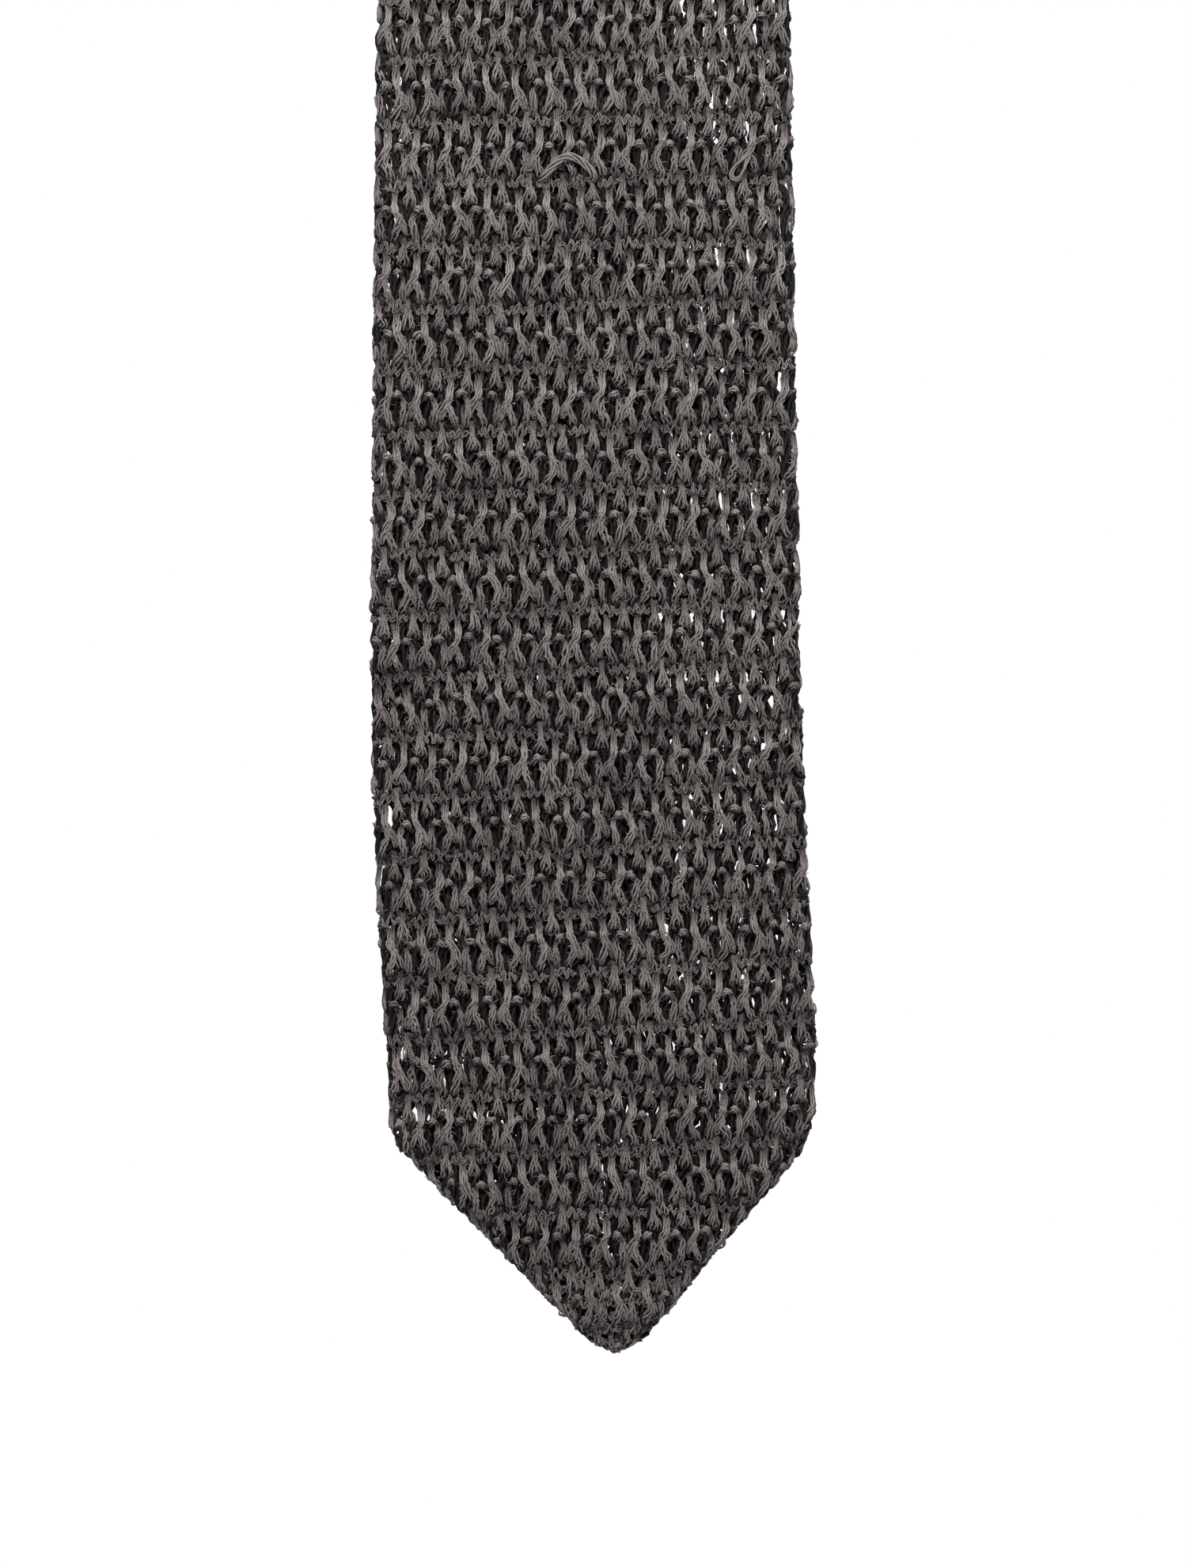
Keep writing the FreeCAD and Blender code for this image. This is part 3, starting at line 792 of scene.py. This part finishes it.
def blend_all(pieces):
    """Bakes the pieces' transforms into their meshes, which are left attached to no body."""
    for piece in pieces:
        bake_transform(piece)


def knit_front_end():
    """The end of the front blade, with the most detail, because it is seen close by."""
    made = []
    for k, block in enumerate(("upper", "middle", "lower", "shoulder", "point")):
        low = FINE_FROM + k * BLOCK
        made += knit_stretch(f"front_end_{block}_face", low, low + BLOCK, "face", fine=True)
    back = knit_stretch("front_end_back", FINE_FROM, FRONT_APEX + 1, "back")
    halfway = (FINE_FROM + FRONT_APEX) / 2
    fuzz = [
        loose_fibres("front_end_upper_fuzz", FINE_FROM, halfway),
        loose_fibres("front_end_lower_fuzz", halfway, FRONT_APEX),
    ]
    ride_all([*made, *back, *fuzz], "front_lower")
    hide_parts("front_lower_tube")
    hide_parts("front_point_fold_left", "front_point_fold_right")


def knit_the_rest():
    for part in ("face", "back"):
        middle = knit_stretch(f"front_middle_{part}", UPPER_END, FINE_FROM, part)
        blend_all(middle)
        top = knit_stretch(f"front_top_{part}", FRONT_TOP, UPPER_END, part)
        blend_all(top)
        tail_top = knit_stretch(f"tail_top_{part}", -ARC - UPPER_END, FRONT_TOP, part)
        blend_all(tail_top)
        tail_end = knit_stretch(f"tail_end_{part}", TAIL_END, -ARC - UPPER_END, part)
        blend_all(tail_end)
    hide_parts("front_upper_tube")
    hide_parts("neck_tube")
    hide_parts("tail_upper_tube")
    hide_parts("tail_lower_tube", "tail_point_fold_left", "tail_point_fold_right")


# -------------------------------- seams, stitches and tacks
def on_front(points):
    """Places in space of (x, drop, depth) points on the front blade, or on the neck if drop is below zero."""
    return place(*np.array(points, float).T)


def on_tail(points):
    x, drop, depth = np.array(points, float).T
    return place(x, -ARC - drop, depth)


def seam_piece(name, low, high):
    """The back seam of a stretch of the strip: two edges of the knit, with thread wound over both."""
    mesh = TubeMesh(4, unevenness=0.12)
    s = np.arange(low, high, WINDING / 7)
    turn = 2 * math.pi * s / WINDING
    across = along(STATIONS, s, 2) + SEAM_REACH * np.sin(turn)
    mesh.add_path(place(across, s, SEAM_MIDDLE - SEAM_RISE * np.cos(turn)), THREAD_RADIUS, steps=1)
    s = np.arange(low, high, 1.0)
    for side in (-1, 1):
        across = along(STATIONS, s, 2) + side * (SEAM_EDGE + 0.08 * np.sin(2 * s + side))
        mesh.add_path(place(across, s, np.full(len(s), SEAM_MIDDLE - 0.1)), EDGE_YARN_RADIUS, steps=1)
    return dress(mesh.make(name), THREAD)


def stitches(name, where, spots, reach, rise, base, slant, ends=1):
    """Short stitches, one across each (x, drop) spot, whose ends go down into the cloth."""
    mesh = TubeMesh(6, unevenness=0.08)
    for x, drop in spots:
        path = [
            (x - reach, drop - slant, base - 0.7),
            (x - 0.92 * reach, drop - 0.9 * slant, base),
            (x - 0.5 * reach, drop - 0.5 * slant, base + 0.85 * rise),
            (x, drop, base + rise),
            (x + 0.5 * reach, drop + 0.5 * slant, base + 0.85 * rise),
            (x + 0.92 * reach, drop + 0.9 * slant, base),
            (x + reach, drop + slant, base - 0.7),
        ]
        mesh.add_path(where(path), THREAD_RADIUS, ends=ends, spread=0.16 if ends > 1 else 0, twist=4.0)
    return dress(mesh.make(name), THREAD)


def point_stitches(name, where, shoulder, apex, shift, apex_shift, count):
    """Stitches that draw the two folded corners together down the middle of the point's back."""
    share = 0.1 + 0.6 * (np.arange(count) + 0.5) / count
    spots = [(shift + t * (apex_shift - shift), shoulder + t * (apex - shoulder)) for t in share]
    return stitches(name, where, spots, reach=1.5, rise=0.45, base=2 * DEPTH + 0.25, slant=0.6, ends=2)


def bar_tack(name, where, middle, drop):
    """Satin stitches side by side across the lower end of the back seam."""
    mesh = TubeMesh(6, unevenness=0.06)
    path = []
    for x in np.arange(-BAR_TACK_WIDTH / 2, BAR_TACK_WIDTH / 2, BAR_TACK_PITCH) + middle:
        over = [(-0.15, 3.0), (0.15, 3.6), (0.7, 3.78), (1.25, 3.6), (1.55, 3.0)]
        path += [(x, drop + down, depth) for down, depth in over]
        path.append((x + BAR_TACK_PITCH / 2, drop + 0.7, 2.6))
    mesh.add_path(where(path), BAR_TACK_THREAD, steps=2)
    return dress(mesh.make(name), THREAD)


def keeper_line():
    """The middle of the keeper's band as even steps of (x, depth), and how long it is."""
    back = DEPTH + KEEPER_BAND / 2
    outer = back + KEEPER_RISE
    half = [(0, outer), (6, outer), (12, outer), (16.5, outer), (18.7, outer - 0.1), (19.7, outer - 0.8)]
    half += [(20.1, outer - 2.4), (20.45, back + 1.0), (20.9, back + 0.2), (22, back), (24.4, back)]
    left = [(-x, depth) for x, depth in reversed(half[1:])]
    points = np.array([(x, depth, 0) for x, depth in left + half], float)
    line = smooth_path(points, 8)[:, :2]
    length = np.concatenate([[0], np.cumsum(np.linalg.norm(np.diff(line, axis=0), axis=1))])
    return line, length


def keeper_band():
    """The knitted band on the back of the front blade: courses of plain knit round its line."""
    mesh = TubeMesh(5, unevenness=0.1)
    line, length = keeper_line()
    side = unit(np.gradient(line, axis=0))
    wales = round(length[-1] / KEEPER_WALE)
    stitch = np.array(PLAIN_PATH)
    for row in range(KEEPER_ROWS):
        place_along = np.stack([np.arange(wales), np.zeros(wales), np.zeros(wales)], axis=-1)
        path = (stitch[None] + place_along[:, None]).reshape(-1, 3)
        path = path + np.random.default_rng(row).normal(size=path.shape) * [0.02, 0.03, 0.04]
        u = path[:, 0] / wales * length[-1]
        x, depth = np.interp(u, length, line[:, 0]), np.interp(u, length, line[:, 1])
        out_x, out_depth = -np.interp(u, length, side[:, 1]), np.interp(u, length, side[:, 0])
        rows_down = row + KEEPER_SET + path[:, 1]
        drop = KEEPER_DROP - KEEPER_HEIGHT / 2 + rows_down * KEEPER_HEIGHT / (KEEPER_ROWS + KEEPER_SET)
        out = path[:, 2]
        points = place(x + out * out_x, drop, depth + out * out_depth)
        mesh.add_path(points, steps=2, **BAND_YARN)
    return dress(mesh.make("keeper_knit_band"), KNIT_YARN)


def keeper_tacks():
    """The ends of the yarn that tacks the keeper, where they come up on the blade's face."""
    arch = [(-5.7, 584.2, 0.4), (-5.2, 583.6, -0.7), (-4.4, 582.6, -1.0), (-3.3, 581.5, -1.1)]
    arch += [(-2.1, 581.0, -1.15), (-0.9, 581.3, -1.15), (0.2, 582.1, -1.1), (1.0, 582.9, -1.0)]
    arch += [(1.3, 583.6, -0.6), (1.2, 584.1, 0.4)]
    loop = [(22.3, 580.2, 0.2), (21.9, 580.7, -0.7), (21.0, 581.6, -0.95), (20.1, 582.6, -1.0)]
    loop += [(19.75, 583.4, -1.0), (20.1, 584.0, -1.0), (20.8, 583.9, -1.0), (21.3, 583.1, -1.0)]
    loop += [(21.7, 582.0, -0.95), (22.1, 580.9, -0.6), (22.4, 580.4, 0.3)]
    made = []
    for name, path, ends, spread in (("keeper_tack_arch", arch, 5, 0.4), ("keeper_tack_loop", loop, 2, 0.17)):
        mesh = TubeMesh(6, unevenness=0.12)
        mesh.add_path(on_front(path), TACK_RADIUS, steps=6, ends=ends, spread=spread, twist=9.0, phase=0.6)
        made.append(dress(mesh.make(name), TACK_YARN))
    return made


# -------------------------------- tape, label and tag
def woven_strip(name, where, profile, span, thickness, along_drop):
    """A strip of woven cloth that follows a profile of (place, depth) and is as wide as its span.

    The profile runs along the drop if along_drop is set, and across the tie if not.
    """
    low, high = span
    line = smooth_path(np.array([(a, depth, 0) for a, depth in profile], float), 6)[:, :2]
    length = np.concatenate([[0], np.cumsum(np.linalg.norm(np.diff(line, axis=0), axis=1))])
    side = unit(np.gradient(line, axis=0))
    normal = np.stack([-side[:, 1], side[:, 0]], axis=-1)
    wide = np.linspace(low, high, max(4, round((high - low) / STRIP_COLUMN)))
    loop = np.concatenate([line + normal * thickness / 2, (line - normal * thickness / 2)[::-1]])
    measure = np.concatenate([length, length[::-1]])
    a, b = np.meshgrid(loop[:, 0], wide, indexing="ij")
    depth = np.broadcast_to(loop[:, 1:], a.shape)
    pairs = (b, a) if along_drop else (a, b)
    points = where(np.stack([*(p.ravel() for p in pairs), depth.ravel()], axis=-1))
    rows, columns = a.shape
    faces, cloth_uv = [], []
    rings = []
    for i in range(rows):
        beyond = (i + 1) % rows
        for j in range(columns - 1):
            rings.append([(i, j), (beyond, j), (beyond, j + 1), (i, j + 1)])
    for j in (0, columns - 1):
        for i in range(rows // 2 - 1):
            ring = [(i, j), (i + 1, j), (rows - 2 - i, j), (rows - 1 - i, j)]
            rings.append(ring if j == 0 else ring[::-1])
    for ring in rings:
        faces.append([row * columns + column for row, column in ring])
        cloth_uv += [(measure[row], wide[column] - low) for row, column in ring]
    mesh = bpy.data.meshes.new(name)
    mesh.from_pydata([tuple(p) for p in points], [], faces)
    mesh.uv_layers.new(name="cloth").data.foreach_set("uv", np.array(cloth_uv, np.float32).ravel())
    mesh.validate()
    piece = add_object(name, mesh)
    return piece


def woven_material(name, dark, light, pitch, shine):
    """Narrow-loom weave: threads over and under one another, pitch millimetres apart."""
    made, nodes, links, shader = material(name)
    long, wide = uv_parts(nodes, links, "cloth")
    turn = 2 * math.pi / pitch
    warp = calculate(nodes, links, "SINE", calculate(nodes, links, "MULTIPLY", wide, turn))
    weft = calculate(nodes, links, "SINE", calculate(nodes, links, "MULTIPLY", long, turn))
    weave = calculate(nodes, links, "MULTIPLY", warp, weft)
    weave = calculate(nodes, links, "MULTIPLY_ADD", weave, 0.35, noise(nodes, links, WEAVE_SCALE, 3))
    two_tones(nodes, links, weave, dark, light, 0.2, 0.85, shader)
    raise_surface(nodes, links, weave, 0.5, shader)
    shader.inputs["Roughness"].default_value = WEAVE_ROUGHNESS
    shader.inputs["Specular IOR Level"].default_value = shine
    return made


# First colour: the painted shade of yarn that lies deep; second: the yarn's own colour where it stands out
TACK_YARN = yarn_material(
    "charcoal_tack_yarn", (0.006, 0.0056, 0.0053), (0.044, 0.04, 0.0388), ply=0.8, roughness=0.9, bump=0.5
)
TAPE_WEAVE = woven_material(
    "black_twill_tape", (0.008, 0.008, 0.009), (0.03, 0.03, 0.032), pitch=0.7, shine=0.1
)
LABEL_WEAVE = woven_material(
    "black_label_weave", (0.005, 0.005, 0.006), (0.018, 0.017, 0.0195), pitch=0.5, shine=0.05
)
TAG_WEAVE = woven_material(
    "white_satin_tag", (0.26, 0.25, 0.24), (0.39, 0.385, 0.375), pitch=0.5, shine=0.15
)


def stay_tape():
    profile = [(s, MIDDLE) for s in np.linspace(-TAPE_LEG - ARC, TAPE_LEG, 24)]
    half = TAPE_WIDTH / 2
    tape = woven_strip("neck_twill_tape", on_front, profile, (-half, half), TAPE_THICKNESS, True)
    dress(tape, TAPE_WEAVE)
    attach(tape, "neck")
    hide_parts("neck_stay_tape")


def label():
    """A blank woven label with its two ends turned under."""
    back, front, end = DEPTH + 0.56, DEPTH + 0.8, LABEL_WIDTH / 2
    turned = [(-end + 6, back), (-end + 2, back), (-end + 0.3, back), (-end, back + 0.12)]
    turned.append((-end + 0.3, front))
    flat = [(x, front + 0.05 * math.sin(x)) for x in np.linspace(-end + 2, end - 2, 14)]
    profile = turned + flat + [(-x, depth) for x, depth in reversed(turned)]
    top = LABEL_DROP - LABEL_HEIGHT / 2
    bottom = top + LABEL_HEIGHT
    piece = woven_strip("blank_woven_label", on_front, profile, (top, bottom), LABEL_THICKNESS, False)
    dress(piece, LABEL_WEAVE)
    spots = [(x, top + y) for x in (-10.5, 10.5) for y in (1.5, LABEL_HEIGHT - 1.5)]
    sewn = stitches(
        "label_corner_stitches", on_front, spots, reach=1.2, rise=0.35, base=DEPTH + 0.79, slant=0.8
    )
    ride_all([piece, sewn], "front_lower")
    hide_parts("label")
    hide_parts("label_stitches")


def care_tag():
    """A blank satin tag, folded in two and sewn by its top edge to the back of the tail."""
    near, far, top = DEPTH + 0.42, DEPTH + 0.72, TAG_DROP - TAG_HEIGHT / 2
    end = top + TAG_HEIGHT
    profile = [(top, near), (top + 8, near), (end - 1, near), (end - 0.25, near + 0.06), (end, near + 0.17)]
    profile += [(end - 0.25, far), (end - 1, far + 0.04), (top + 8, far + 0.02), (top, far - 0.1)]
    middle = float(along(STATIONS, -ARC - TAG_DROP, 2)) + 5
    half = TAG_WIDTH / 2
    tag = woven_strip("blank_care_tag", on_tail, profile, (middle - half, middle + half), TAG_THICKNESS, True)
    dress(tag, TAG_WEAVE)
    spots = [(middle + x, top + 1.2) for x in (-4.9, -1.6, 1.6, 4.9)]
    sewn = stitches(
        "care_tag_top_stitches", on_tail, spots, reach=1.2, rise=0.35, base=DEPTH + 0.75, slant=0.1
    )
    ride_all([tag, sewn], "tail_lower")
    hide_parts("care_tag")
    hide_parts("care_tag_stitches")


def front_trims(band):
    middle = FRONT_SHOULDER_SHIFT
    tack = bar_tack("front_satin_bar_tack", on_front, middle, FRONT_SHOULDER - BAR_TACK_UP)
    joined = point_stitches(
        "front_point_join", on_front, FRONT_SHOULDER, FRONT_APEX, middle, FRONT_APEX_SHIFT, 7
    )
    sewn = []
    for hand, side in ((-1, "left"), (1, "right")):
        spots = [(hand * KEEPER_TAB_MIDDLE, KEEPER_DROP + drop) for drop in (-2.6, 0.0, 2.6)]
        name = f"keeper_tab_stitches_{side}"
        base = DEPTH + KEEPER_BAND
        piece = stitches(name, on_front, spots, reach=1.3, rise=0.45, base=base, slant=0.25, ends=2)
        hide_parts(f"keeper_stitches_{side}")
        sewn.append(piece)
    arch, loop = keeper_tacks()
    ride_all([tack, joined, band, arch, loop, *sewn], "front_lower")
    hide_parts("front_bar_tack")
    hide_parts("front_point_stitches")
    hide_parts("keeper_loop")
    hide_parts("keeper_tack_middle")
    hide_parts("keeper_tack_right")


def tail_trims():
    middle = TAIL_SHOULDER_SHIFT
    tack = bar_tack("tail_satin_bar_tack", on_tail, middle, TAIL_SHOULDER - BAR_TACK_UP)
    joined = point_stitches(
        "tail_point_join", on_tail, TAIL_SHOULDER, TAIL_APEX, middle, TAIL_APEX_SHIFT, 5
    )
    ride_all([tack, joined], "tail_lower")
    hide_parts("tail_bar_tack")
    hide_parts("tail_point_stitches")


def back_seams():
    end = seam_piece("front_end_seam", FINE_FROM, FRONT_SHOULDER)
    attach(end, "front_lower")
    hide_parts("front_lower_back_seam")
    for name, low, high, bend, solid in (
        ("front_middle_seam", UPPER_END, FINE_FROM, FRONT_FOLD, "front_upper_back_seam"),
        ("front_top_seam", FRONT_TOP, UPPER_END, FRONT_SWING, "neck_back_seam"),
        ("tail_top_seam", -ARC - UPPER_END, FRONT_TOP, TAIL_SWING, "tail_upper_back_seam"),
        ("tail_end_seam", -ARC - TAIL_SHOULDER, -ARC - UPPER_END, TAIL_FOLD, "tail_lower_back_seam"),
    ):
        seam = seam_piece(name, low, high)
        blend_all([seam])
        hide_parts(solid)


keeper = keeper_band()
knit_front_end()
knit_the_rest()
back_seams()
front_trims(keeper)
tail_trims()
stay_tape()
label()
care_tag()


# -------------------------------- stage, light and camera, in metres
FLOOR_RADIUS, FLOOR_DROP = 2.0, 0.9
SENSOR = 36
CAMERA_X, CAMERA_DISTANCE, CAMERA_Z = 0.0013, 2.0, -0.665
VIEW_WIDTH = 0.1596  # how much of the tie's plane the camera takes in
KEY_AIM = 0.45  # the height that the two key lights are turned to
KEY_SIZE, NEAR_SIZE = (0.3, 0.5), (0.22, 0.14)
NEAR_Z = -0.32


def plain_material(name, colour):
    made, nodes, links, shader = material(name)
    shader.inputs["Base Color"].default_value = (*colour, 1)
    shader.inputs["Roughness"].default_value = 0.9
    return made


def stage():
    centre = (0, 0, -FLOOR_DROP)
    bpy.ops.mesh.primitive_circle_add(vertices=96, radius=FLOOR_RADIUS, fill_type="NGON", location=centre)
    floor = bpy.context.object
    floor.name = "floor"
    floor.data.materials.append(plain_material("white_floor", (0.97, 0.97, 0.97)))
    world = bpy.data.worlds.new("white_studio")
    bpy.context.scene.world = world
    world.use_nodes = True
    background = world.node_tree.nodes["Background"]
    background.inputs["Color"].default_value = (1, 1, 1, 1)
    background.inputs["Strength"].default_value = 1.0


def soft_light(name, place_at, target, size, energy):
    data = bpy.data.lights.new(name, "AREA")
    data.shape = "RECTANGLE"
    data.size, data.size_y = size
    data.energy = energy
    light = add_object(name, data)
    light.location = place_at
    light.rotation_euler = (Vector(target) - Vector(place_at)).to_track_quat("-Z", "Y").to_euler()


def camera():
    data = bpy.data.cameras.new("camera")
    data.sensor_fit = "HORIZONTAL"
    data.sensor_width = SENSOR
    data.lens = SENSOR * CAMERA_DISTANCE / VIEW_WIDTH
    data.clip_end = 100
    eye = add_object("camera", data)
    eye.location = (CAMERA_X, -CAMERA_DISTANCE, CAMERA_Z)
    eye.rotation_euler = (math.pi / 2, 0, 0)
    bpy.context.scene.camera = eye


stage()
soft_light("key", (-0.06, -1.1, 0.1), (0, 0, KEY_AIM), KEY_SIZE, 17)
soft_light("back_key", (0.06, 1.1, 0.1), (0, 0, KEY_AIM), KEY_SIZE, 15)
soft_light("near", (-0.03, -0.45, NEAR_Z), (0, 0, NEAR_Z), NEAR_SIZE, 20)
soft_light("back_near", (0.03, 0.45, NEAR_Z), (0, 0, NEAR_Z), NEAR_SIZE, 16)
camera()
bpy.context.scene.view_settings.view_transform = "Standard"
